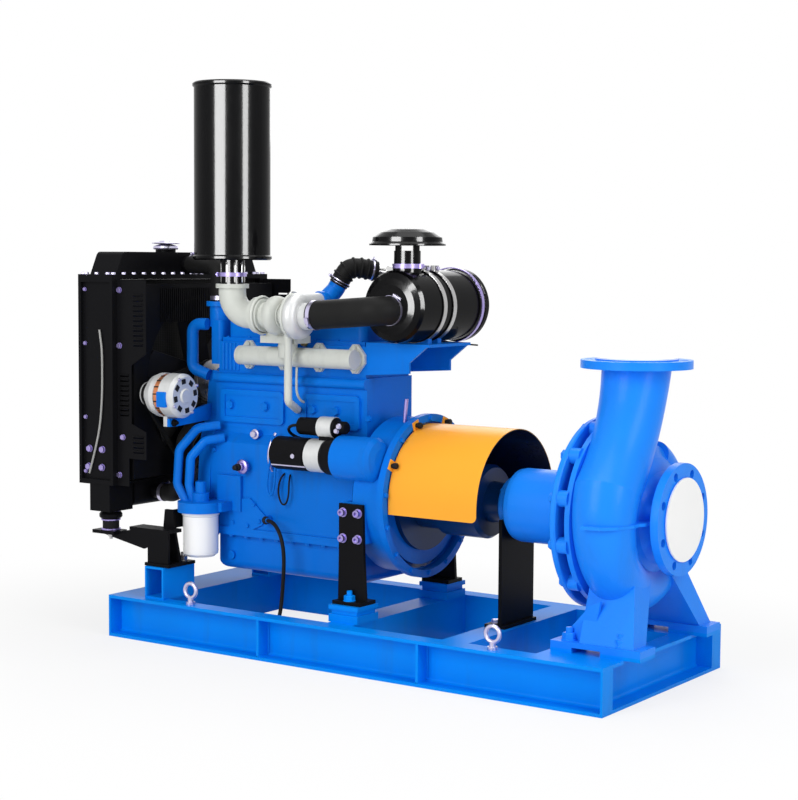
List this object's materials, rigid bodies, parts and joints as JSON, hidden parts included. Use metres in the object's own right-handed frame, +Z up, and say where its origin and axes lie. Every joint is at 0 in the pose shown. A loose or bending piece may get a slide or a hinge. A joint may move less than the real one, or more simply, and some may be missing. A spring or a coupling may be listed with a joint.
{
  "type": "diesel water pump set",
  "caption": "Skid mounted end-suction water pump driven through a guarded coupling by a turbocharged diesel engine with radiator, upright muffler and air cleaner.",
  "frame": {"origin": "centre of the base frame's footprint, on the floor", "axes": "+X along the shaft line towards the suction flange, +Z up, -Y the exhaust side"},
  "size_m": [1.758, 0.7, 1.575],
  "materials": {
    "frame_blue": "semi-gloss",
    "pump_blue": "semi-gloss",
    "engine_blue": "satin",
    "black_paint": "satin",
    "black_gloss": "gloss",
    "black_rubber": "matt",
    "black_plastic": "matt",
    "cast_silver": "silver paint",
    "turbo_aluminium": "cast",
    "orange_paint": "satin",
    "white_paint": "gloss",
    "white_sheet": "matt",
    "zinc": "zinc plated"
  },
  "bodies": {
    "frame": {"side_rails": "frame_blue", "end_beams": "frame_blue", "cross_beams": "frame_blue", "lifting_eyes": "zinc", "front_support_pedestals": "frame_blue", "front_engine_mounts": "black_paint", "radiator_rubber_mounts": "black_rubber", "rear_mount_pads": "frame_blue", "rear_engine_brackets": "black_paint", "oil_pan": "engine_blue", "cylinder_block": "engine_blue", "tappet_covers": "engine_blue", "timing_case": "engine_blue", "flywheel_housing": "engine_blue", "cylinder_head": "engine_blue", "rocker_cover": "engine_blue", "thermostat_housing": "engine_blue", "exhaust_manifold": "cast_silver", "turbine_housing": "cast_silver", "compressor_housing": "turbo_aluminium", "exhaust_elbow": "cast_silver", "muffler": "black_gloss", "intake_hose": "black_rubber", "air_cleaner": "black_gloss", "intake_cap": "black_gloss", "air_cleaner_bracket": "engine_blue", "charge_air_pipe": "engine_blue", "charge_air_crossing": "turbo_aluminium", "intake_manifold": "engine_blue", "injection_pump": "turbo_aluminium", "alternator": "turbo_aluminium", "alternator_bracket": "engine_blue", "belt_pulleys": "black_paint", "fan_belt": "black_rubber", "radiator_core": "black_paint", "radiator_frame": "black_paint", "radiator_top_tank": "black_paint", "radiator_filler_cap": "zinc", "radiator_bottom_tank": "black_paint", "cooling_fan": "black_plastic", "fan_shroud": "black_paint", "fan_side_guards": "black_paint", "radiator_hoses": "black_rubber", "oil_filter_head": "engine_blue", "oil_filter": "white_paint", "oil_cooler_pipes": "engine_blue", "oil_return_pipe": "cast_silver", "starter_motor": "black_paint", "coupling_guard": "orange_paint", "bearing_bracket": "pump_blue", "bracket_pillar": "black_paint", "casing_cover": "pump_blue", "pump_casing": "pump_blue", "pump_foot_beams": "frame_blue", "flange_covers": "white_sheet", "drain_hose": "black_rubber"},
    "rotor": {"flywheel": "engine_blue", "drive_coupling": "black_paint"}
  },
  "joints": [
    {"name": "shaft_spin", "type": "hinge", "parent": "frame", "child": "rotor", "pos_m": [0, 0, 0.444], "axis": [1, 0, 0], "continuous": true}
  ]
}
